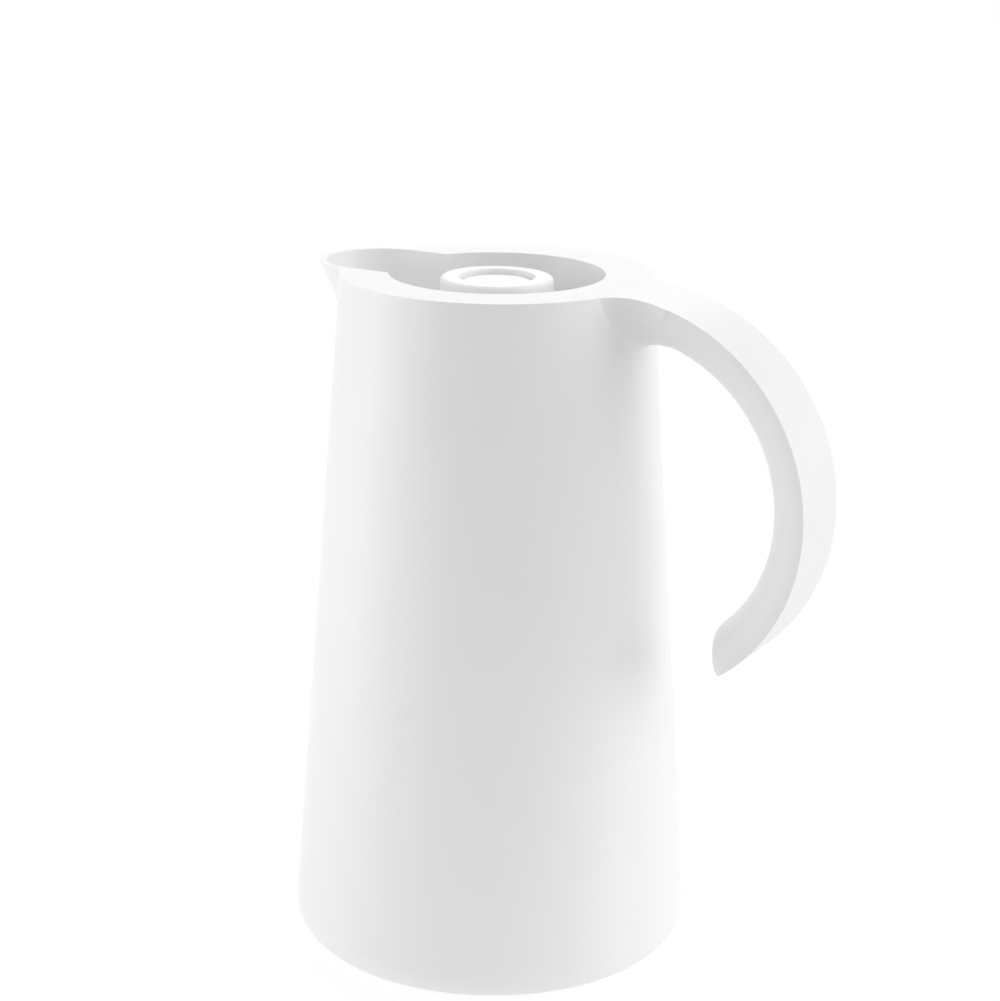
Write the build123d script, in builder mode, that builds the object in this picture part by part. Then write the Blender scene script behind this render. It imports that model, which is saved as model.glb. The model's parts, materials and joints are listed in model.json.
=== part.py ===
from build123d import *
import os
from math import acos, atan2, cos, degrees, hypot, radians, sin, sqrt

# White thermal jug: a conical shell with a wide flat rim, a rounded beak and an open hook handle,
# a glass vacuum liner inside it, and a stopper with a push button and a valve in the well of the rim.
# The origin is the centre of the base, on the surface that the jug stands on. +Z is up.
# The handle points along +X and the beak along -X. All sizes are in millimetres.

# Outer body: a straight cone with a rounded bottom edge and a flat rim
height = 240.4
foot_radius = 71.0
rim_radius = 53.5
bottom_round = 12.0
shell_wall = 2.6
rim_plate = 2.6
foot_gap = 0.4

# Round well inside the rim, with a floor that falls to the neck
well_radius = 37.1
well_depth = 24.4
floor_fall = 2.4
floor_wall = 2.4
insert_wall = 2.2

# Beak: straight sides and a half-round front, narrower from level to level downwards.
# Each level has its share of the beak's height and its share of the widest half width.
beak_centre = 45.3
beak_half_width = 22.0
beak_height = 34.0
beak_wall = 2.1
beak_flare = [
    (0.0, 1.0),
    (0.1, 0.95),
    (0.2, 0.873),
    (0.4, 0.756),
    (0.6, 0.636),
    (0.8, 0.518),
    (1.0, 0.4),
]
beak_blend = 3.0
beak_start_share = 0.45

# Handle: a D section, flat outside and round inside, along an arc that is tangent to the rim plane
# and curls a little tighter towards its free end. The root widens into the rim in plan, and the free
# end closes in a rounded nose. Angles are measured from +X, round the arc's centre.
# Each section has its share of the length, of the half width and of the depth.
handle_arc_radius = 69.7
handle_arc_x = 51.7
curl_radius = 66.8
curl_angle = -10.0
handle_width = 28.3
handle_depth = 15.4
handle_end_depth = 14.5
handle_side = 1.4
handle_end_angle = -47.6
handle_blend = 2.0
root_start = 40.0
root_length = 32.0
root_spread = [
    (0.0, 2.44, 1.44),
    (0.13, 2.04, 1.41),
    (0.26, 1.555, 1.37),
    (0.425, 1.185, 1.3),
    (0.56, 1.06, 1.23),
    (0.69, 1.0, 1.14),
    (0.84, 1.0, 1.06),
    (1.0, 1.0, 1.0),
]
nose_turn = -9.8
nose_taper = [
    (0.0, 1.0, 1.0),
    (0.33, 0.99, 0.96),
    (0.61, 0.93, 0.83),
    (0.815, 0.82, 0.6),
    (0.945, 0.65, 0.33),
    (1.0, 0.46, 0.1),
]

# Neck of the insert: a bore with slots, and a groove under them where the stopper's lugs turn
lug_count = 3
plug_radius = 20.4
bore_gap = 0.5
collar_wall = 4.3
collar_depth = 16.2
lug_height = 2.8
lug_reach = 2.0
lug_angle = 40.0
lug_drop = 4.8
lug_gap = 0.3
lock_angle = 60.0
stop_margin = 1.5
skirt_wall = 2.2
skirt_depth = 9.4
skirt_gap = 0.6

# Glass liner: two walls with a vacuum between them, joined at the lip of the neck
liner_radius = 51.0
glass_wall = 1.8
vacuum_gap = 3.7
neck_bore = 19.5
neck_gap = 1.7
neck_height = 9.0
neck_curve = 3.0
shoulder_height = 22.0
liner_foot = 16.0
dome_height = 24.0
tip_length = 7.0
tip_radius = 3.2
gasket_thickness = 2.8
gasket_drop = 5.0
spacer_count = 3
spacer_height = 10.0
spacer_angle = 10.0
spacer_level = 62.0
seat_gap = 0.05

# Foam ring between the liner and the shell
foam_level = 148.0
foam_height = 12.0

# Base: a cover that turns into the shell, its seal, the foot ring and the rubber cushion
base_opening = 54.6
base_collar_wall = 2.4
base_collar_height = 15.0
cover_gap = 0.5
cover_rise = 1.4
cover_plate = 2.6
cover_ring_wall = 2.6
cover_ring_height = 8.0
cover_lug_count = 3
cover_lug_angle = 30.0
cover_notch_angle = 37.0
cover_lug_height = 2.4
cover_ribs = 6
cover_rib_wall = 2.0
cover_rib_height = 4.0
ledge_height = 2.3
ledge_reach = 2.0
base_seal_height = 1.9
foot_ring_radius = 47.0
foot_ring_width = 5.8
foot_ring_inset = 1.1
grip_length = 18.0
grip_width = 7.0
grip_depth = 1.2
grip_circle = 26.0
grip_count = 3
cushion_outer = 38.0
cushion_inner = 16.0
cushion_slots = 6
cushion_slot_width = 5.0
cushion_slot_height = 6.0

# Stopper: cap ring, plug, push button, spring and valve
cap_drop = 1.2
cap_radius = 20.0
cap_top_radius = 19.3
cap_height = 16.2
cap_wall = 1.9
cap_top_wall = 2.2
cap_round = 1.6
cap_edge = 0.35
fit_gap = 0.1
guide_wall = 1.8
guide_height = 9.0
button_radius = 12.55
button_gap = 0.6
button_drop = 1.6
button_plate = 2.2
button_skirt = 7.0
button_skirt_wall = 1.8
button_dish = 0.5
button_edge = 1.6
button_travel = 4.0
travel_margin = 0.4
hub_radius = 4.5
deck_plate = 2.4
deck_rim_height = 5.4
deck_drop = 13.2
tube_wall = 2.1
cap_seat = 1.4
cap_seat_edge = 1.0
window_count = 4
window_angle = 52.0
window_sill = 1.2
window_head = 0.8
plug_wall = 2.8
plug_shoulder = 2.2
plug_foot_rise = 1.6
seat_plate = 2.5
seat_radius = 12.0
stem_radius = 2.5
stem_clearance = 0.08
stem_socket = 0.8
boss_radius = 5.0
boss_rise = 2.0
boss_drop = 4.0
valve_radius = 16.0
valve_plate = 1.8
valve_gasket_height = 1.8
valve_gasket_reach = 1.2
stem_shoulder_radius = 3.6
stem_shoulder_height = 1.4
nut_height = 2.6
nut_width = 7.0
stem_end = 1.0
washer_height = 0.5
washer_radius = 9.2
spring_radius = 7.2
spring_wire = 0.9
spring_turns = 5
seal_height = 3.0
seal_depth = 1.4
seal_rise = 1.4
small_ring_height = 1.4
small_ring_depth = 1.1
cap_seal_rise = 0.8
stem_seal_rise = 1.2
bead_reach = 0.35
bead_height = 1.0
bead_rise = 3.4

# How far a cutting tool passes the face that it opens, and the least rise of an upright joint line
overcut = 1.0
least_rise = 5.0

# Levels and radii that follow from the sizes above
rim_underside = height - rim_plate
beak_start = well_radius * beak_start_share
channel_half_width = beak_half_width - beak_wall
channel_corner_x = sqrt(well_radius**2 - channel_half_width**2) - overcut
floor_edge_z = height - well_depth
floor_neck_z = floor_edge_z - floor_fall
bore_radius = plug_radius + bore_gap
collar_radius = bore_radius + collar_wall
collar_bottom = floor_neck_z - collar_depth
lug_top = floor_neck_z - lug_drop
lug_bottom = lug_top - lug_height
slot_radius = plug_radius + lug_reach + bore_gap
neck_outer = neck_bore + 2 * glass_wall + neck_gap
lip_radius = (neck_outer - neck_bore) / 2
lip_centre = (neck_outer + neck_bore) / 2
lip_top = collar_bottom - gasket_thickness
lip_z = lip_top - lip_radius
shoulder_z = lip_z - neck_height - shoulder_height
skirt_radius = neck_outer + skirt_gap
flask_radius = liner_radius - glass_wall - vacuum_gap
cover_top = cover_rise + cover_plate
cover_radius = base_opening - cover_gap
ledge_z = cover_top + base_seal_height
ledge_radius = base_opening - ledge_reach
curl_shift = handle_arc_radius - curl_radius
curl_x = handle_arc_x + curl_shift * cos(radians(curl_angle))
curl_z = height - handle_arc_radius + curl_shift * sin(radians(curl_angle))
cover_ring_radius = ledge_radius - bore_gap
cap_top = height - cap_drop
cap_bottom = cap_top - cap_height
cap_bore = cap_radius - cap_wall
guide_radius = button_radius + button_gap
button_top = cap_top - button_drop
button_under = button_top - button_plate
deck_top = cap_top - deck_drop
deck_under = deck_top - deck_plate
deck_radius = cap_bore - fit_gap
tube_bore = deck_radius - tube_wall
plug_bore = plug_radius - plug_wall
plug_bottom = collar_bottom + plug_foot_rise
seal_low = plug_bottom + seal_rise
seal_high = seal_low + seal_height
boss_top = deck_top + boss_rise
boss_bottom = deck_under - boss_drop
hub_bottom = boss_top + button_travel + travel_margin
cap_seal_z = cap_bottom + cap_seal_rise
bead_z = cap_bottom + bead_rise
stem_seal_z = boss_bottom + stem_seal_rise
disc_top = plug_bottom - valve_gasket_height - seat_gap
disc_under = disc_top - valve_plate
nut_under = disc_under - nut_height
spring_foot = deck_top + washer_height
thin = 0.02


def cone_radius(z):
    """Outer radius of the conical body at a height."""
    return foot_radius + (rim_radius - foot_radius) * z / height


def inner_radius(z):
    """Radius of the shell's inside at a height."""
    return cone_radius(z) - shell_wall


def half_d(half_width, depth):
    """Section of the handle. Its flat outer side lies on local y = 0."""
    side = min(handle_side, depth / 2)
    with BuildSketch() as section:
        with BuildLine():
            Polyline((-half_width, -side), (-half_width, 0), (half_width, 0), (half_width, -side))
            EllipticalCenterArc((0, -side), half_width, depth - side, start_angle=180, arc_size=180)
        make_face()
    return section.sketch


def on_arc(angle):
    """Plane square to the handle's arc, at an angle from +X, with its origin on the outer face."""
    turn = radians(angle)
    if angle > curl_angle:
        x = handle_arc_x + handle_arc_radius * cos(turn)
        z = height - handle_arc_radius + handle_arc_radius * sin(turn)
    else:
        x = curl_x + curl_radius * cos(turn)
        z = curl_z + curl_radius * sin(turn)
    return Plane(origin=(x, 0, z), x_dir=(0, 1, 0), z_dir=(sin(turn), 0, -cos(turn)))


def on_handle(x):
    """Plane square to the handle at its root: level up to the arc's start, then on the arc."""
    if x <= handle_arc_x:
        return Plane(origin=(x, 0, height), x_dir=(0, 1, 0), z_dir=(1, 0, 0))
    return on_arc(degrees(acos((x - handle_arc_x) / handle_arc_radius)))


def channel_body(offset):
    """The pour channel, moved outwards by an offset: plumb at the well, tangent to the beak's front."""
    mouth = channel_half_width + offset
    front_to_corner = hypot(beak_centre - channel_corner_x, mouth)
    corner_angle = atan2(mouth, beak_centre - channel_corner_x)
    with BuildPart() as space:
        for height_share, width_share in beak_flare:
            front_radius = beak_half_width * width_share - beak_wall + offset
            touch_angle = corner_angle + acos(front_radius / front_to_corner)
            touch_x = front_radius * cos(touch_angle) - beak_centre
            touch_y = front_radius * sin(touch_angle)
            with BuildSketch(Plane.XY.offset(height - beak_height * height_share)):
                with BuildLine():
                    Polyline((-beak_start, mouth), (-channel_corner_x, mouth), (touch_x, touch_y))
                    front = (-beak_centre - front_radius, 0)
                    ThreePointArc((touch_x, touch_y), front, (touch_x, -touch_y))
                    side = [(touch_x, -touch_y), (-channel_corner_x, -mouth), (-beak_start, -mouth)]
                    Polyline(*side, (-beak_start, mouth))
                make_face()
        loft(ruled=True)
    return space.part


def turned(*points):
    """A solid of revolution round the Z axis, from the radius and height of each corner."""
    with BuildPart() as solid:
        with BuildSketch(Plane.YZ):
            with BuildLine():
                Polyline(*points, close=True)
            make_face()
        revolve(axis=Axis.Z)
    return solid.part


def ring(inner, outer, low, high):
    """A plain ring round the Z axis."""
    return turned((inner, low), (outer, low), (outer, high), (inner, high))


def ring_parts(inner, outer, low, high, count, angle, turn=0.0):
    """Equal pieces of a ring round the Z axis, each centred on its turn from +X."""
    with BuildPart() as pieces:
        for number in range(count):
            side = radians(turn + 360 * number / count - angle / 2)
            start = Plane(origin=(0, 0, 0), x_dir=(cos(side), sin(side), 0), z_dir=(sin(side), -cos(side), 0))
            with BuildSketch(start):
                with Locations(((inner + outer) / 2, (low + high) / 2)):
                    Rectangle(outer - inner, high - low)
            revolve(axis=Axis.Z, revolution_arc=angle)
    return pieces.part


def flask(radius, bottom_z, dome, shoulder, top_radius, curve, top_z):
    """A closed bottle shape: domed bottom, straight wall, domed shoulder and neck."""
    shoulder_reach = radius - top_radius - curve
    with BuildPart() as bottle:
        with BuildSketch(Plane.YZ):
            with BuildLine():
                EllipticalCenterArc((0, bottom_z + dome), radius, dome, start_angle=270, arc_size=90)
                Line((radius, bottom_z + dome), (radius, shoulder))
                shoulder_centre = (top_radius + curve, shoulder)
                EllipticalCenterArc(shoulder_centre, shoulder_reach, shoulder_height - curve, 0, arc_size=90)
                CenterArc((top_radius + curve, shoulder + shoulder_height), curve, 270, -90)
                Polyline(
                    (top_radius, shoulder + shoulder_height), (top_radius, top_z), (0, top_z), (0, bottom_z)
                )
            make_face()
        revolve(axis=Axis.Z)
    return bottle.part


os.makedirs("parts", exist_ok=True)

# Outer shell: body, rim, beak and handle in one moulding, open at the bottom
with BuildPart() as handle_run:
    run_start = degrees(acos((root_start + root_length - handle_arc_x) / handle_arc_radius))
    arc_centre = (handle_arc_x, height - handle_arc_radius)
    with BuildLine(Plane.XZ) as run_line:
        CenterArc(arc_centre, handle_arc_radius, run_start, curl_angle - run_start)
        CenterArc((curl_x, curl_z), curl_radius, curl_angle, handle_end_angle - curl_angle)
    with BuildSketch(on_arc(run_start)):
        add(half_d(handle_width / 2, handle_depth))
    with BuildSketch(on_arc(handle_end_angle)):
        add(half_d(handle_width / 2, handle_end_depth))
    sweep(path=run_line.wires()[0], multisection=True)

with BuildPart() as handle_root:
    for length_share, width_share, depth_share in root_spread:
        with BuildSketch(on_handle(root_start + root_length * length_share)):
            add(half_d(handle_width / 2 * width_share, handle_depth * depth_share))
    loft()

with BuildPart() as handle_nose:
    for length_share, width_share, depth_share in nose_taper:
        with BuildSketch(on_arc(handle_end_angle + nose_turn * length_share)):
            add(half_d(handle_width / 2 * width_share, handle_end_depth * depth_share))
    loft()

with BuildPart() as beak:
    for height_share, width_share in beak_flare:
        half_width = beak_half_width * width_share
        with BuildSketch(Plane.XY.offset(height - beak_height * height_share)):
            with BuildLine():
                Line((-beak_start, half_width), (-beak_centre, half_width))
                front = (-beak_centre - half_width, 0)
                ThreePointArc((-beak_centre, half_width), front, (-beak_centre, -half_width))
                side = [(-beak_centre, -half_width), (-beak_start, -half_width)]
                Polyline(*side, (-beak_start, half_width))
            make_face()
    loft()

with BuildPart() as channel:
    add(channel_body(0))
    split(bisect_by=Plane.XY.offset(height - well_depth), keep=Keep.TOP)

with BuildPart() as outer_shell:
    with BuildSketch(Plane.YZ) as body_profile:
        with BuildLine():
            Polyline((0, 0), (foot_radius, 0), (rim_radius, height), (0, height), close=True)
        make_face()
        fillet(body_profile.vertices().sort_by(Axis.X)[-1], bottom_round)
    revolve(axis=Axis.Z)
    add(beak.part)
    upright = outer_shell.edges().filter_by(lambda edge: edge.bounding_box().size.Z > least_rise)
    beak_line = upright.filter_by(lambda edge: edge.bounding_box().size.Z < beak_height)
    fillet(beak_line.filter_by(lambda edge: edge.center().X < -rim_radius / 2), beak_blend)
    add(handle_root.part)
    root_depth = handle_depth * root_spread[0][2]
    upright = outer_shell.edges().filter_by(lambda edge: edge.bounding_box().size.Z > least_rise)
    root_line = upright.filter_by(lambda edge: edge.bounding_box().size.Z < root_depth)
    root_line = root_line.filter_by(lambda edge: edge.bounding_box().max.X < rim_radius + root_depth / 4)
    fillet(root_line.filter_by(lambda edge: edge.bounding_box().min.X > root_start), handle_blend)
    add(handle_run.part)
    add(handle_nose.part)
    split(bisect_by=Plane.XY.offset(height), keep=Keep.BOTTOM)
    split(bisect_by=Plane.XY.offset(foot_gap), keep=Keep.TOP)
    with BuildSketch(Plane.YZ) as inside_profile:
        inside_floor = foot_gap + shell_wall
        with BuildLine():
            Polyline(
                (0, inside_floor),
                (inner_radius(inside_floor), inside_floor),
                (inner_radius(rim_underside), rim_underside),
                (0, rim_underside),
                close=True,
            )
        make_face()
        fillet(inside_profile.vertices().sort_by(Axis.X)[-1], bottom_round - shell_wall)
    revolve(axis=Axis.Z, mode=Mode.SUBTRACT)
    add(ring(base_opening, base_opening + base_collar_wall, foot_gap, foot_gap + base_collar_height))
    with BuildSketch(Plane.XY):
        Circle(base_opening)
    extrude(amount=base_collar_height, mode=Mode.SUBTRACT)
    ledge = (ledge_radius, base_opening + base_collar_wall / 2, ledge_z, ledge_z + ledge_height)
    add(ring_parts(*ledge, cover_lug_count, 360 / cover_lug_count - cover_notch_angle))
    with BuildSketch(Plane.XY.offset(height)):
        Circle(well_radius)
    extrude(amount=-rim_plate, mode=Mode.SUBTRACT)
    add(channel.part, mode=Mode.SUBTRACT)
outer_shell.part.label = "outer_shell"
export_step(outer_shell.part, "parts/outer_shell.step")

# Pour insert: the well, its floor, the trough to the beak, and the collar that holds the stopper
with BuildPart() as trough:
    trough_floor = floor_edge_z - floor_wall
    mid_wall = well_radius + insert_wall / 2
    add(channel_body(insert_wall))
    split(bisect_by=Plane.XY.offset(rim_underside), keep=Keep.BOTTOM)
    split(bisect_by=Plane.XY.offset(trough_floor), keep=Keep.TOP)
    add(
        turned(
            (mid_wall, trough_floor),
            (inner_radius(trough_floor) - seat_gap, trough_floor),
            (inner_radius(rim_underside) - seat_gap, rim_underside),
            (mid_wall, rim_underside),
        ),
        mode=Mode.INTERSECT,
    )

with BuildPart() as pour_insert:
    add(
        turned(
            (well_radius, rim_underside),
            (well_radius + insert_wall, rim_underside),
            (well_radius + insert_wall, floor_edge_z - floor_wall),
            (collar_radius, floor_neck_z - floor_wall),
            (collar_radius, collar_bottom + floor_wall),
            (skirt_radius + skirt_wall, collar_bottom + floor_wall),
            (skirt_radius + skirt_wall, collar_bottom - skirt_depth),
            (skirt_radius, collar_bottom - skirt_depth),
            (skirt_radius, collar_bottom),
            (bore_radius, collar_bottom),
            (bore_radius, floor_neck_z),
            (well_radius, floor_edge_z),
        )
    )
    add(trough.part)
    add(channel.part, mode=Mode.SUBTRACT)
    groove_low = lug_bottom - lug_gap
    groove_angle = lock_angle + lug_angle + 2 * stop_margin
    groove = (bore_radius - overcut, slot_radius, groove_low, lug_top + lug_gap)
    add(ring_parts(*groove, lug_count, groove_angle, -lock_angle / 2), mode=Mode.SUBTRACT)
    slot = (bore_radius - overcut, slot_radius, groove_low, floor_neck_z + floor_fall)
    add(ring_parts(*slot, lug_count, lug_angle + 2 * stop_margin), mode=Mode.SUBTRACT)
pour_insert.part.label = "pour_insert"
export_step(pour_insert.part, "parts/pour_insert.step")

# Neck gasket: a soft ring between the collar and the glass lip
with BuildPart() as neck_gasket:
    gasket_z = collar_bottom - gasket_drop
    add(ring(neck_bore, skirt_radius - seat_gap, gasket_z, collar_bottom))
    add(ring(neck_bore - overcut, neck_outer + seat_gap, gasket_z - overcut, lip_z), mode=Mode.SUBTRACT)
    with BuildSketch(Plane.YZ):
        with Locations((lip_centre, lip_z)):
            Circle(lip_radius + seat_gap)
    revolve(axis=Axis.Z, mode=Mode.SUBTRACT)
neck_gasket.part.label = "neck_gasket"
export_step(neck_gasket.part, "parts/neck_gasket.step")

# Outer wall of the liner, with the sealed tip at the bottom
with BuildPart() as liner_outer:
    shape = (liner_foot, dome_height, shoulder_z)
    add(flask(liner_radius, *shape, neck_outer, neck_curve, lip_z))
    with BuildSketch(Plane.YZ):
        with BuildLine():
            tip_top = liner_foot + glass_wall
            tip_end = liner_foot - tip_length
            Polyline((0, tip_top), (tip_radius, tip_top), (tip_radius / 2, tip_end), (0, tip_end), close=True)
        make_face()
    revolve(axis=Axis.Z)
    inside = (liner_foot + glass_wall, dome_height, shoulder_z - glass_wall)
    add(
        flask(liner_radius - glass_wall, *inside, neck_outer - glass_wall, neck_curve + glass_wall, lip_z),
        mode=Mode.SUBTRACT,
    )
liner_outer.part.label = "liner_outer"
export_step(liner_outer.part, "parts/liner_outer.step")

# Inner wall of the liner, with the rolled lip that joins it to the outer wall
with BuildPart() as liner_inner:
    inner_bottom = liner_foot + glass_wall + vacuum_gap
    inner_shoulder = shoulder_z - glass_wall - vacuum_gap
    neck_inner = neck_bore + glass_wall
    add(flask(flask_radius, inner_bottom, dome_height, inner_shoulder, neck_inner, neck_curve, lip_z))
    with BuildSketch(Plane.YZ):
        with Locations((lip_centre, lip_z)):
            Circle(lip_radius)
            Circle(neck_gap / 2, mode=Mode.SUBTRACT)
        with Locations((lip_centre, lip_z - lip_radius)):
            Rectangle(2 * lip_radius, 2 * lip_radius, mode=Mode.SUBTRACT)
    revolve(axis=Axis.Z)
    add(
        flask(
            flask_radius - glass_wall,
            inner_bottom + glass_wall,
            dome_height,
            inner_shoulder - glass_wall,
            neck_bore,
            neck_curve,
            lip_top + overcut,
        ),
        mode=Mode.SUBTRACT,
    )
liner_inner.part.label = "liner_inner"
export_step(liner_inner.part, "parts/liner_inner.step")

# Spacer pads in the vacuum between the two glass walls
with BuildPart() as liner_pads:
    pad = (flask_radius + seat_gap, liner_radius - glass_wall - seat_gap)
    add(ring_parts(*pad, spacer_level, spacer_level + spacer_height, spacer_count, spacer_angle))
liner_pads.part.label = "liner_pads"
export_step(liner_pads.part, "parts/liner_pads.step")

# Foam ring that keeps the liner in the middle of the shell
with BuildPart() as foam_ring:
    foam_top = foam_level + foam_height
    add(
        turned(
            (liner_radius + seat_gap, foam_level),
            (inner_radius(foam_level) - seat_gap, foam_level),
            (inner_radius(foam_top) - seat_gap, foam_top),
            (liner_radius + seat_gap, foam_top),
        )
    )
foam_ring.part.label = "foam_ring"
export_step(foam_ring.part, "parts/foam_ring.step")

# Rubber cushion under the liner: its top follows the dome of the glass
with BuildPart() as bottom_cushion:
    add(ring(cushion_inner, cushion_outer, cover_top, liner_foot + dome_height))
    dome_top = liner_foot + dome_height + overcut
    bottle_top = dome_top + shoulder_height + overcut
    dome = (liner_foot - seat_gap, dome_height, dome_top, neck_outer, neck_curve, bottle_top)
    add(flask(liner_radius, *dome), mode=Mode.SUBTRACT)
    with BuildSketch(Plane.XY.offset(cover_top)):
        with PolarLocations((cushion_inner + cushion_outer) / 2, cushion_slots):
            Rectangle(cushion_outer, cushion_slot_width)
    extrude(amount=cushion_slot_height, mode=Mode.SUBTRACT)
bottom_cushion.part.label = "bottom_cushion"
export_step(bottom_cushion.part, "parts/bottom_cushion.step")

# Base cover: a plate with a ring and lugs that turn in over the shell's ledge
with BuildPart() as base_cover:
    with BuildSketch(Plane.XY.offset(cover_rise)):
        Circle(cover_radius)
    extrude(amount=cover_plate)
    cover_ring_inner = cover_ring_radius - cover_ring_wall
    add(ring(cover_ring_inner, cover_ring_radius, cover_top, cover_top + cover_ring_height))
    lug_z = ledge_z + ledge_height + seat_gap
    lug = (cover_ring_inner, base_opening - cover_gap, lug_z, lug_z + cover_lug_height)
    add(ring_parts(*lug, cover_lug_count, cover_lug_angle))
    with BuildSketch(Plane.XY.offset(cover_top)):
        rib_start = cushion_outer + seat_gap
        rib_length = cover_ring_inner - rib_start
        with PolarLocations(rib_start + rib_length / 2, cover_ribs):
            Rectangle(rib_length + overcut, cover_rib_wall)
        Circle(rib_start, mode=Mode.SUBTRACT)
    extrude(amount=cover_rib_height)
    groove_outer = foot_ring_radius + foot_ring_width / 2
    with BuildSketch(Plane.XY.offset(cover_rise)):
        Circle(groove_outer)
        Circle(groove_outer - foot_ring_width, mode=Mode.SUBTRACT)
    extrude(amount=foot_ring_inset, mode=Mode.SUBTRACT)
    with BuildSketch(Plane.XY.offset(cover_rise)):
        with PolarLocations(grip_circle, grip_count):
            SlotOverall(grip_length, grip_width, rotation=90)
    extrude(amount=grip_depth, mode=Mode.SUBTRACT)
base_cover.part.label = "base_cover"
export_step(base_cover.part, "parts/base_cover.step")

# Seal between the base cover and the shell's ledge
with BuildPart() as base_seal:
    add(ring(cover_ring_radius + seat_gap, base_opening - seat_gap, cover_top, ledge_z))
base_seal.part.label = "base_seal"
export_step(base_seal.part, "parts/base_seal.step")

# Foot ring that the jug stands on
with BuildPart() as foot_ring:
    add(ring(groove_outer - foot_ring_width, groove_outer, 0, cover_rise + foot_ring_inset))
    fillet(foot_ring.edges().group_by(Axis.Z)[0], cover_rise / 3)
foot_ring.part.label = "foot_ring"
export_step(foot_ring.part, "parts/foot_ring.step")

# Cap of the stopper: the round ring that shows in the well, with the guide for the button
with BuildPart() as stopper_cap:
    with BuildSketch(Plane.YZ) as cap_profile:
        with BuildLine():
            Polyline(
                (guide_radius, cap_top),
                (cap_top_radius, cap_top),
                (cap_radius, cap_bottom),
                (cap_bore, cap_bottom),
                (cap_bore, cap_top - cap_top_wall),
                (guide_radius + guide_wall, cap_top - cap_top_wall),
                (guide_radius + guide_wall, cap_top - guide_height),
                (guide_radius, cap_top - guide_height),
                close=True,
            )
        make_face()
        fillet(cap_profile.vertices().group_by(Axis.Y)[-1].sort_by(Axis.X)[-1], cap_round)
        fillet(cap_profile.vertices().group_by(Axis.Y)[-1].sort_by(Axis.X)[0], cap_edge)
    revolve(axis=Axis.Z)
    bead_groove = (bead_z - seat_gap, bead_z + bead_height + seat_gap)
    add(ring(cap_bore - overcut, cap_bore + bead_reach, *bead_groove), mode=Mode.SUBTRACT)
stopper_cap.part.label = "stopper_cap"
export_step(stopper_cap.part, "parts/stopper_cap.step")

# Plug of the stopper: deck, windows, lugs, seal grooves and the valve seat
with BuildPart() as stopper_plug:
    shoulder_low = floor_neck_z
    shoulder_high = shoulder_low + plug_shoulder
    seat_low = cap_bottom - cap_seat_edge
    add(
        turned(
            (seat_radius, plug_bottom),
            (plug_radius, plug_bottom),
            (plug_radius, shoulder_low),
            (deck_radius, shoulder_high - window_sill),
            (deck_radius, seat_low - cap_seat),
            (cap_radius, seat_low),
            (cap_radius, cap_bottom),
            (deck_radius, cap_bottom),
            (deck_radius, deck_top + deck_rim_height),
            (tube_bore, deck_top + deck_rim_height),
            (tube_bore, deck_top),
            (boss_radius, deck_top),
            (boss_radius, boss_top),
            (stem_radius + stem_clearance, boss_top),
            (stem_radius + stem_clearance, boss_bottom),
            (boss_radius, boss_bottom),
            (boss_radius, deck_under),
            (tube_bore, deck_under),
            (tube_bore, shoulder_low),
            (plug_bore, shoulder_low - plug_shoulder),
            (plug_bore, plug_bottom + seat_plate),
            (seat_radius, plug_bottom + seat_plate),
        )
    )
    add(ring(cap_bore - bead_reach, cap_bore + bead_reach - seat_gap, bead_z, bead_z + bead_height))
    add(ring_parts(plug_bore, plug_radius + lug_reach, lug_bottom, lug_top, lug_count, lug_angle))
    window_low = shoulder_high
    window_high = seat_low - cap_seat - window_head
    window = (tube_bore - overcut, plug_radius, window_low, window_high)
    add(ring_parts(*window, window_count, window_angle, 180 / window_count), mode=Mode.SUBTRACT)
    groove_floor = plug_radius - seal_depth
    seal_groove = (seal_low - seat_gap, seal_high + seat_gap)
    add(ring(groove_floor, plug_radius + overcut, *seal_groove), mode=Mode.SUBTRACT)
    small_groove = (deck_radius - small_ring_depth, deck_radius + overcut)
    add(ring(*small_groove, cap_seal_z, cap_seal_z + small_ring_height), mode=Mode.SUBTRACT)
    stem_groove = stem_radius + stem_clearance + small_ring_depth
    add(ring(stem_radius, stem_groove, stem_seal_z, stem_seal_z + small_ring_height), mode=Mode.SUBTRACT)
stopper_plug.part.label = "stopper_plug"
export_step(stopper_plug.part, "parts/stopper_plug.step")

# Silicone ring that seals the plug in the collar's bore
with BuildPart() as neck_seal:
    add(ring(groove_floor + seat_gap, bore_radius - seat_gap, seal_low, seal_high))
    fillet(neck_seal.edges().filter_by(GeomType.CIRCLE).sort_by(SortBy.RADIUS)[-2:], seal_height / 4)
neck_seal.part.label = "neck_seal"
export_step(neck_seal.part, "parts/neck_seal.step")

# Ring between the cap and the plug
with BuildPart() as cap_seal:
    ring_top = cap_seal_z + small_ring_height
    ring_inner = deck_radius - small_ring_depth + seat_gap
    add(ring(ring_inner, cap_bore - seat_gap, cap_seal_z + seat_gap, ring_top - seat_gap))
cap_seal.part.label = "cap_seal"
export_step(cap_seal.part, "parts/cap_seal.step")

# Ring round the stem in the deck's boss
with BuildPart() as stem_seal:
    ring_top = stem_seal_z + small_ring_height
    add(ring(stem_radius + seat_gap, stem_groove - seat_gap, stem_seal_z + seat_gap, ring_top - seat_gap))
stem_seal.part.label = "stem_seal"
export_step(stem_seal.part, "parts/stem_seal.step")

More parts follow.
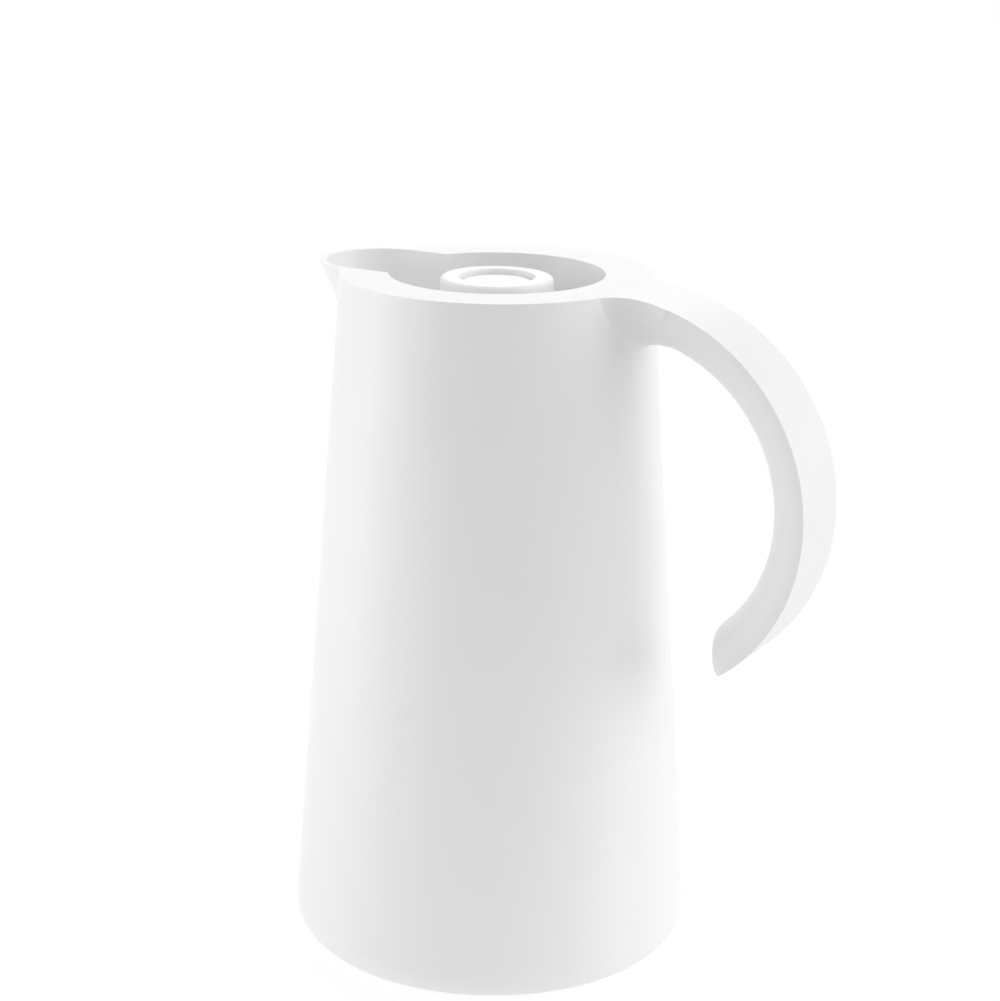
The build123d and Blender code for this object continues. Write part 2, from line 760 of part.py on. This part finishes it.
# Push button with a slightly hollow top and a socket for the stem
with BuildPart() as push_button:
    with BuildSketch(Plane.YZ) as button_profile:
        with BuildLine():
            edge_start = (button_radius, button_top)
            half_way = (button_radius / 2, button_top - button_dish * 3 / 4)
            ThreePointArc((0, button_top - button_dish), half_way, edge_start)
            Polyline(
                edge_start,
                (button_radius, button_top - button_skirt),
                (button_radius - button_skirt_wall, button_top - button_skirt),
                (button_radius - button_skirt_wall, button_under),
                (hub_radius, button_under),
                (hub_radius, hub_bottom),
                (stem_radius + thin, hub_bottom),
                (stem_radius + thin, button_under + stem_socket),
                (0, button_under + stem_socket),
                (0, button_top - button_dish),
            )
        make_face()
        fillet(button_profile.vertices().sort_by_distance(edge_start)[0], button_edge)
    revolve(axis=Axis.Z)
push_button.part.label = "push_button"
export_step(push_button.part, "parts/push_button.step")

# Spring and the washer that it stands on
with BuildPart() as spring_seat:
    add(ring(boss_radius + fit_gap, washer_radius, deck_top, spring_foot))
spring_seat.part.label = "spring_seat"
export_step(spring_seat.part, "parts/spring_seat.step")

with BuildPart() as button_spring:
    spring_low = spring_foot + spring_wire / 2
    spring_rise = button_under - seat_gap - spring_wire / 2 - spring_low
    with BuildLine() as spring_line:
        Helix(spring_rise / spring_turns, spring_rise, spring_radius, center=(0, 0, spring_low))
    with BuildSketch(Plane(origin=spring_line.line @ 0, z_dir=spring_line.line % 0)):
        Circle(spring_wire / 2)
    sweep(path=spring_line.line, is_frenet=True)
button_spring.part.label = "button_spring"
export_step(button_spring.part, "parts/button_spring.step")

# Stem from the button to the valve, with a shoulder above the disc
with BuildPart() as valve_stem:
    with BuildSketch(Plane.XY.offset(nut_under - stem_end)):
        Circle(stem_radius)
    extrude(amount=button_under + stem_socket - nut_under + stem_end)
    add(ring(stem_radius - overcut, stem_shoulder_radius, disc_top, disc_top + stem_shoulder_height))
valve_stem.part.label = "valve_stem"
export_step(valve_stem.part, "parts/valve_stem.step")

# Valve disc, its gasket and the nut that holds it
with BuildPart() as valve_disc:
    add(ring(stem_radius + thin, valve_radius, disc_under, disc_top))
    fillet(valve_disc.edges().group_by(Axis.Z)[0].sort_by(SortBy.RADIUS)[-1], valve_plate / 3)
valve_disc.part.label = "valve_disc"
export_step(valve_disc.part, "parts/valve_disc.step")

with BuildPart() as valve_gasket:
    add(ring(seat_radius - valve_gasket_reach, valve_radius, disc_top, disc_top + valve_gasket_height))
valve_gasket.part.label = "valve_gasket"
export_step(valve_gasket.part, "parts/valve_gasket.step")

with BuildPart() as stem_nut:
    with BuildSketch(Plane.XY.offset(nut_under)):
        RegularPolygon(nut_width / 2, 6, major_radius=False)
        Circle(stem_radius + thin, mode=Mode.SUBTRACT)
    extrude(amount=nut_height)
stem_nut.part.label = "stem_nut"
export_step(stem_nut.part, "parts/stem_nut.step")
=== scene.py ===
import bmesh
import bpy
import json
from math import cos, hypot, pi, radians, sin
from mathutils import Matrix, Vector


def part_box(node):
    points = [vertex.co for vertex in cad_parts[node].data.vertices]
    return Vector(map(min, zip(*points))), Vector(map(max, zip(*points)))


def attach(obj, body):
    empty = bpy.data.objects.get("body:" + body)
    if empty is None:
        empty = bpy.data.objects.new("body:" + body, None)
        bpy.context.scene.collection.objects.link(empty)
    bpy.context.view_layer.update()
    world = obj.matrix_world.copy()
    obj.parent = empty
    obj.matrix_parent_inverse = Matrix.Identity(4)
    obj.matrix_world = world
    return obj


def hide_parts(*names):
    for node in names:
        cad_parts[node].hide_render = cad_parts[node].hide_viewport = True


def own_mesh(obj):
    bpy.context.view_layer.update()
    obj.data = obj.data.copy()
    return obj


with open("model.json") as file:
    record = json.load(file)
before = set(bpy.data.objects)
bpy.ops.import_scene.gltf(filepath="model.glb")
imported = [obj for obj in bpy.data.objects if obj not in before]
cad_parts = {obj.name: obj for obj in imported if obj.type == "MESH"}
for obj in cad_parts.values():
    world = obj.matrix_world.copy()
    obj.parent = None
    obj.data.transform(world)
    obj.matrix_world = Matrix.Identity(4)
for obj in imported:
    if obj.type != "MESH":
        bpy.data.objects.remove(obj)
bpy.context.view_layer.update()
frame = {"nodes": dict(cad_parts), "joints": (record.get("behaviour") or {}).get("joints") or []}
nodes = frame["nodes"]


# The jug is seen from its side, with the beak to the left and the handle to the right, and from a
# little above, so that the rim shows as a flat oval. The lens is a long one.
jug_to_camera = 0.85384
camera_height = 0.40616
camera_turn = radians(29.0)
camera_pan = radians(0.13)
camera_tilt = radians(16.11)
camera_roll = radians(0.671)
lens = 91.49
nearest_view = 0.01

bpy.ops.object.camera_add()
camera = bpy.context.object
camera.name = "photo_camera"
camera.data.lens = lens
camera.data.clip_start = nearest_view
stand_x = jug_to_camera * sin(camera_turn)
stand_y = -jug_to_camera * cos(camera_turn)
stand = Matrix.Translation(Vector((stand_x, stand_y, camera_height)))
heading = Matrix.Rotation(camera_turn - camera_pan, 4, "Z")
dip = Matrix.Rotation(pi / 2 - camera_tilt, 4, "X")
roll = Matrix.Rotation(camera_roll, 4, "Z")
camera.matrix_world = stand @ (heading @ dip) @ roll
bpy.context.scene.camera = camera
bpy.context.scene.view_settings.view_transform = "Standard"


# The jug stands on a light table: a white floor that glows a little, in white air. The camera sees
# both as white, and the floor takes the jug's soft shadow.
class Wire:
    """One output of a shader node. Sums, differences and products of wires add Math nodes."""

    def __init__(self, socket):
        self.socket = socket

    def node(self, kind, settings, values, output=0):
        """Add a node: its settings are made first, then its sockets get numbers or wires."""
        tree = self.socket.id_data
        made = tree.nodes.new(kind)
        for name, setting in settings.items():
            setattr(made, name, setting)
        for name, value in values.items():
            if isinstance(value, Wire):
                tree.links.new(value.socket, made.inputs[name])
            else:
                made.inputs[name].default_value = value
        return Wire(made.outputs[output])

    def maths(self, operation, first, second):
        return self.node("ShaderNodeMath", {"operation": operation}, {0: first, 1: second})

    def __add__(self, other):
        return self.maths("ADD", self, other)

    def __sub__(self, other):
        return self.maths("SUBTRACT", self, other)

    def __rsub__(self, other):
        return self.maths("SUBTRACT", other, self)

    def __mul__(self, other):
        return self.maths("MULTIPLY", self, other)

    __radd__ = __add__
    __rmul__ = __mul__


def seen_as_white(tree):
    """1 for what the camera sees itself or through gloss or glass, and 0 for light on its way."""
    rays = tree.nodes.new("ShaderNodeLightPath").outputs
    seen = Wire(rays["Is Camera Ray"])
    seen = seen.maths("MAXIMUM", seen, Wire(rays["Is Glossy Ray"]))
    return seen.maths("MAXIMUM", seen, Wire(rays["Is Transmission Ray"]))


floor_width = 0.9
floor_white = (0.8, 0.8, 0.8, 1)
paper_light = 1.16
paper_share = 0.68
glow_share = 0.55
air_light = 0.38
air_white = (1, 1, 1, 1)

bpy.ops.mesh.primitive_plane_add(size=floor_width, location=(0, 0, 0))
floor = bpy.context.object
floor.name = "floor"
floor_paint = bpy.data.materials.new("floor_white")
floor_paint.use_nodes = True
seen = seen_as_white(floor_paint.node_tree)
matte = seen.node("ShaderNodeBsdfDiffuse", {}, {"Color": floor_white})
paper = seen.node("ShaderNodeEmission", {}, {"Strength": paper_light})
share = seen * (paper_share - glow_share) + glow_share
shown = seen.node("ShaderNodeMixShader", {}, {"Fac": share, 1: matte, 2: paper})
floor_output = floor_paint.node_tree.nodes["Material Output"]
floor_paint.node_tree.links.new(shown.socket, floor_output.inputs["Surface"])
floor.data.materials.append(floor_paint)

world = bpy.data.worlds.new("white_air")
world.use_nodes = True
bpy.context.scene.world = world
air = world.node_tree.nodes["Background"]
air.inputs["Color"].default_value = air_white
air_strength = seen_as_white(world.node_tree) * (1 - air_light) + air_light
world.node_tree.links.new(air_strength.socket, air.inputs["Strength"])


# Soft boxes stand to the left and the right of the jug and hang behind it, so that the front is
# the darkest part of the body, and a small one looks into the well. Each has its bearing from the
# camera, its rise, its width and its power.
lamp_distance = 1.3
lamp_target = Vector((0.0, 0.0, 0.14))
soft_boxes = {
    "left_box": (-87, 8, 1.4, 11.0),
    "right_box": (84, 22, 1.3, 10.0),
    "back_box": (180, 50, 1.1, 7.3),
    "front_box": (10, 38, 0.5, 1.7),
}
for name, (bearing, rise, width, power) in soft_boxes.items():
    turn = camera_turn - pi / 2 + radians(bearing)
    away = lamp_distance * cos(radians(rise))
    above = lamp_distance * sin(radians(rise))
    spot = lamp_target + Vector((away * cos(turn), away * sin(turn), above))
    bpy.ops.object.light_add(type="AREA", location=spot)
    lamp = bpy.context.object
    lamp.name = name
    lamp.data.size = width
    lamp.data.energy = power
    lamp.rotation_euler = (lamp_target - spot).to_track_quat("-Z", "Y").to_euler()


# The outer shell is one moulding of matte white plastic: body, flat rim, beak and handle. Its
# surface has the fine grain of a spark-eroded mould, and the sharp edges of its rim and its handle
# are slightly rounded.
shell_white = (0.87, 0.87, 0.865)
shell_gloss_loss = 0.48
cloud_size = 0.03
cloud_shade = 0.975
cloud_gloss_loss = 0.08
grain_size = 0.00035
grain_height = 0.000012
grain_gloss_loss = 0.06
fine_detail = 3.0
handle_start = 0.0722
edge_round = 0.0005
weld = 0.00001
near = weld * 10
flat = radians(0.1)
crisp = radians(25)
smooth_limit = radians(40)


def patches(place, size, detail=2.0, stretch=(1, 1, 1)):
    """Noise from 0 to 1 in patches of a size in metres, drawn out along the axes by a stretch."""
    shrink = [1 / part for part in stretch]
    drawn = place.node("ShaderNodeMapping", {}, {"Vector": place, "Scale": shrink})
    noise = {"Vector": drawn, "Scale": 1 / size, "Detail": detail}
    return place.node("ShaderNodeTexNoise", {}, noise)


def tone(share, first, second):
    """A colour between two others, each of them a wire or numbers. The share is the second's."""
    first, second = (end if isinstance(end, Wire) else (*end, 1) for end in (first, second))
    # A Mix node takes its two colours at inputs 6 and 7 and gives the new one at output 2.
    return share.node("ShaderNodeMix", {"data_type": "RGBA"}, {0: share, 6: first, 7: second}, 2)


def start_material(name):
    """A new material, and the wire of the place on the object, which its patterns read."""
    material = bpy.data.materials.new(name)
    material.use_nodes = True
    return material, Wire(material.node_tree.nodes.new("ShaderNodeTexCoord").outputs["Object"])


def finish_material(material, relief, relief_height, **values):
    """Fill the shader's sockets, and raise the relief by its height in metres."""
    tree = material.node_tree
    shader = tree.nodes["Principled BSDF"]
    bump = {"Height": relief, "Distance": relief_height, "Strength": 1.0}
    values["Normal"] = relief.node("ShaderNodeBump", {}, bump)
    for name, value in values.items():
        socket = shader.inputs[name.replace("_", " ")]
        if isinstance(value, Wire):
            tree.links.new(value.socket, socket)
        else:
            socket.default_value = value


def white_plastic(name, white, gloss_loss):
    """Matte white plastic with a moulded grain and slow changes of tone and gloss."""
    material, place = start_material(name)
    cloud = patches(place, cloud_size)
    grain = patches(place, grain_size, fine_detail)
    least = gloss_loss - (cloud_gloss_loss + grain_gloss_loss) / 2
    roughness = cloud * cloud_gloss_loss + grain * grain_gloss_loss + least
    colour = tone(cloud, white, [part * cloud_shade for part in white])
    finish_material(material, grain, grain_height, Base_Color=colour, Roughness=roughness)
    return material


def whole_copy(node, name):
    """A copy of a CAD node as a piece of its own, with its loose triangles joined."""
    piece = bpy.data.objects.new(name, nodes[node].data.copy())
    bpy.context.scene.collection.objects.link(piece)
    bpy.ops.object.select_all(action="DESELECT")
    piece.select_set(True)
    bpy.context.view_layer.objects.active = piece
    bpy.ops.mesh.customdata_custom_splitnormals_clear()
    bpy.ops.object.mode_set(mode="EDIT")
    bpy.ops.mesh.select_all(action="SELECT")
    bpy.ops.mesh.remove_doubles(threshold=weld)
    bpy.ops.mesh.dissolve_limited(angle_limit=flat)
    bpy.ops.object.mode_set(mode="OBJECT")
    return piece


def round_edges(piece, wanted, width, steps=2):
    """Round the crisp edges of a piece whose two ends are both wanted, by their places."""
    bpy.ops.object.mode_set(mode="EDIT")
    bpy.ops.mesh.select_mode(type="EDGE")
    bpy.ops.mesh.select_all(action="DESELECT")
    mesh = bmesh.from_edit_mesh(piece.data)
    for edge in mesh.edges:
        if len(edge.link_faces) == 2 and edge.calc_face_angle() > crisp:
            edge.select_set(all(wanted(corner.co) for corner in edge.verts))
    bpy.ops.mesh.bevel(offset=width, segments=steps, clamp_overlap=True)
    bpy.ops.object.mode_set(mode="OBJECT")


def smooth_faces():
    """Smooth the active piece, and let its large faces lead the shading at rounded edges."""
    bpy.ops.object.shade_smooth_by_angle(angle=smooth_limit)
    bpy.ops.object.modifier_add(type="WEIGHTED_NORMAL")
    bpy.context.object.modifiers[-1].keep_sharp = True
    bpy.ops.object.modifier_apply(modifier=bpy.context.object.modifiers[-1].name)


def paint(piece, material):
    piece.data.materials.clear()
    piece.data.materials.append(material)


rim_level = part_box("outer_shell")[1][2]


def on_rim_or_handle(place):
    return place.z > rim_level - near or hypot(place.x, place.y) > handle_start


jug_shell = whole_copy("outer_shell", "jug_shell")
round_edges(jug_shell, on_rim_or_handle, edge_round)
smooth_faces()
paint(jug_shell, white_plastic("shell_plastic", shell_white, shell_gloss_loss))
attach(jug_shell, "jug")
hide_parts("outer_shell")


# The pour insert is the well inside the rim, with the channel to the beak and the collar that
# holds the stopper. It is moulded from the same white plastic and welded under the rim.
well_insert = whole_copy("pour_insert", "well_insert")
smooth_faces()
paint(well_insert, white_plastic("insert_plastic", shell_white, shell_gloss_loss))
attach(well_insert, "jug")
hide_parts("pour_insert")


# The neck gasket is a soft ring of milky silicone, pressed between the collar and the glass lip.
# Like the other seals it has faint flow lines round it and a satin skin.
silicone_light = (0.88, 0.88, 0.865)
silicone_dark = (0.83, 0.83, 0.815)
silicone_gloss_loss = 0.36
milk_size = 0.008
flow_size = 0.001
flow_stretch = (6, 6, 0.5)
flow_height = 0.00002
flow_share = 0.4
flow_gloss_loss = 0.14


def silicone(name):
    """Milky silicone with flow lines round the ring."""
    material, place = start_material(name)
    milk = patches(place, milk_size)
    flow = patches(place, flow_size, stretch=flow_stretch)
    darkness = milk * (1 - flow_share) + flow * flow_share
    colour = tone(darkness, silicone_light, silicone_dark)
    roughness = flow * flow_gloss_loss + silicone_gloss_loss
    finish_material(material, flow, flow_height, Base_Color=colour, Roughness=roughness)
    return material


seal_silicone = silicone("seal_silicone")
paint(nodes["neck_gasket"], seal_silicone)


# The liner is a bottle of two blown glass walls, joined at the lip and silvered on the sides that
# face the vacuum. The glass is a little wavy, and its lip above the silvering is bare and green.
silver_bright = (0.86, 0.865, 0.875)
silver_dull = (0.78, 0.785, 0.795)
bare_glass = (0.7, 0.76, 0.73)
bare_metal_loss = 0.8
glass_gloss_loss = 0.06
glass_coat = 1.0
coat_gloss_loss = 0.03
wave_size = 0.018
wave_detail = 1.0
wave_height = 0.0001
streak_size = 0.005
streak_stretch = (1, 1, 6)
streak_gloss_loss = 0.05
bare_lip = 0.006
silver_fade = 0.003
lip_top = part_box("liner_inner")[1][2]
silver_edge = lip_top - bare_lip

liner_glass, place = start_material("liner_glass")
wave = patches(place, wave_size, wave_detail)
streak = patches(place, streak_size, fine_detail, streak_stretch)
level = place.node("ShaderNodeSeparateXYZ", {}, {"Vector": place}, "Z")
limits = {"Value": level, "From Min": silver_edge, "From Max": silver_edge + silver_fade}
bare = place.node("ShaderNodeMapRange", {}, limits)
silver = tone(streak, silver_bright, silver_dull)
glass_finish = {
    "Base_Color": tone(bare, silver, bare_glass),
    "Metallic": 1 - bare * bare_metal_loss,
    "Roughness": streak * streak_gloss_loss + glass_gloss_loss,
    "Coat_Weight": glass_coat,
    "Coat_Roughness": coat_gloss_loss,
}
finish_material(liner_glass, wave, wave_height, **glass_finish)
for name in ("liner_outer", "liner_inner"):
    paint(nodes[name], liner_glass)


# Small pads keep the two glass walls apart, and a ring of grey open foam keeps the liner in the
# middle of the shell. Both are cut from foam, so every face shows its cells.
foam_light = (0.8, 0.8, 0.78)
foam_dark = (0.6, 0.6, 0.58)
foam_gloss_loss = 0.85
cell_size = 0.0016
cell_depth = 0.0004
pore_size = cell_size / 2
pore_share = 0.4
pore_depth_share = 0.3
pore_gloss_loss = 0.1

liner_foam, place = start_material("liner_foam")
cells = place.node("ShaderNodeTexVoronoi", {}, {"Vector": place, "Scale": 1 / cell_size})
pores = patches(place, pore_size, fine_detail)
foam_colour = tone(cells * (1 - pore_share) + pores * pore_share, foam_light, foam_dark)
foam_finish = {"Base_Color": foam_colour, "Roughness": pores * pore_gloss_loss + foam_gloss_loss}
finish_material(liner_foam, cells + pores * pore_depth_share, cell_depth, **foam_finish)
for name in ("liner_pads", "foam_ring"):
    paint(nodes[name], liner_foam)


# The cushion that carries the liner is moulded from black rubber, with a dusting of talc from its
# mould that lies thicker in some places.
rubber_black = (0.09, 0.09, 0.09)
talc_grey = (0.19, 0.19, 0.185)
cushion_gloss_loss = 0.6
talc_size = 0.009
talc_detail = 5.0
talc_gloss_loss = 0.2
skin_size = 0.0006
skin_height = 0.00004

cushion_rubber, place = start_material("cushion_rubber")
talc = patches(place, talc_size, talc_detail)
skin = patches(place, skin_size, fine_detail)
cushion_finish = {
    "Base_Color": tone(talc, rubber_black, talc_grey),
    "Roughness": talc * talc_gloss_loss + cushion_gloss_loss,
}
finish_material(cushion_rubber, skin, skin_height, **cushion_finish)
paint(nodes["bottom_cushion"], cushion_rubber)


# The base cover closes the jug from below. It is moulded from the shell's plastic with a coarser
# grain, and turns in behind the shell's ledges by the three grips in its face.
cover_gloss_loss = 0.56
cover_round = 0.0004
cover_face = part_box("base_cover")[0][2]


def on_the_underside(place):
    return place.z < cover_face + near


base_plate = whole_copy("base_cover", "base_plate")
round_edges(base_plate, on_the_underside, cover_round)
smooth_faces()
paint(base_plate, white_plastic("base_plastic", shell_white, cover_gloss_loss))
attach(base_plate, "jug")
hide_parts("base_cover")
paint(nodes["base_seal"], seal_silicone)


# The foot ring is pale grey rubber, pressed into the groove of the base cover. Fine rings are
# moulded into its face, so that it grips the table.
foot_light = (0.8, 0.8, 0.79)
foot_dark = (0.72, 0.72, 0.71)
foot_gloss_loss = 0.6
grip_pitch = 0.0008
grip_height = 0.00008
scuff_size = 0.004
scuff_detail = 4.0
scuff_gloss_loss = 0.15

foot_rubber, place = start_material("foot_rubber")
across = place.node("ShaderNodeVectorMath", {"operation": "MULTIPLY"}, {0: place, 1: (1, 1, 0)})
reach = place.node("ShaderNodeVectorMath", {"operation": "LENGTH"}, {0: across}, "Value")
grip = place.maths("SINE", reach * (2 * pi / grip_pitch), 0) * 0.5 + 0.5
scuff = patches(place, scuff_size, scuff_detail)
foot_finish = {
    "Base_Color": tone(scuff, foot_light, foot_dark),
    "Roughness": scuff * scuff_gloss_loss + foot_gloss_loss,
}
finish_material(foot_rubber, grip, grip_height, **foot_finish)
paint(nodes["foot_ring"], foot_rubber)


# The stopper is a cap and a plug that snap together round the valve, moulded from smooth white
# plastic. The plug's lugs turn under the collar, and the drink runs out through its windows.
stopper_white = (0.92, 0.92, 0.915)
stopper_gloss_loss = 0.42
stopper_plastic = white_plastic("stopper_plastic", stopper_white, stopper_gloss_loss)

paint(nodes["stopper_cap"], stopper_plastic)
stopper_core = whole_copy("stopper_plug", "stopper_core")
smooth_faces()
paint(stopper_core, stopper_plastic)
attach(stopper_core, "stopper")
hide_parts("stopper_plug")


# Silicone rings seal the plug in the collar, the cap on the plug, and the stem in the plug's deck.
# They are moulded from the gasket's milky silicone.
for name in ("neck_seal", "cap_seal", "stem_seal"):
    paint(nodes[name], seal_silicone)


# The spring that lifts the button is wound from drawn steel wire, and it stands on a thin steel
# washer. Both have the fine lines of drawing and turning.
steel_bright = (0.74, 0.74, 0.75)
steel_dull = (0.6, 0.6, 0.61)
steel_gloss_loss = 0.24
mark_size = 0.0004
mark_stretch = (8, 8, 0.5)
mark_height = 0.000006
mark_gloss_loss = 0.16
tarnish_size = 0.004
tarnish_share = 0.4

spring_steel, place = start_material("spring_steel")
marks = patches(place, mark_size, fine_detail, mark_stretch)
tarnish = patches(place, tarnish_size)
darkness = marks * (1 - tarnish_share) + tarnish * tarnish_share
steel_finish = {
    "Base_Color": tone(darkness, steel_bright, steel_dull),
    "Metallic": 1.0,
    "Roughness": marks * mark_gloss_loss + steel_gloss_loss,
}
finish_material(spring_steel, marks, mark_height, **steel_finish)
paint(nodes["spring_seat"], spring_steel)

spring_foot, spring_head = (corner[2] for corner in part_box("button_spring"))
press_joint = next(joint for joint in frame["joints"] if joint["name"] == "button_press")
pressed_share = 1 - press_joint["range_m"][1] / (spring_head - spring_foot)

lift_spring = whole_copy("button_spring", "lift_spring")
smooth_faces()
paint(lift_spring, spring_steel)
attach(lift_spring, "stopper")
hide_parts("button_spring")
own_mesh(lift_spring)


# The push button has a slightly hollow top for the thumb. It works the valve under the plug
# through a steel stem: a plastic disc with a silicone gasket, held by a nut.
paint(nodes["push_button"], stopper_plastic)
paint(nodes["valve_disc"], stopper_plastic)
paint(nodes["valve_gasket"], seal_silicone)
for name in ("valve_stem", "stem_nut"):
    paint(nodes[name], spring_steel)
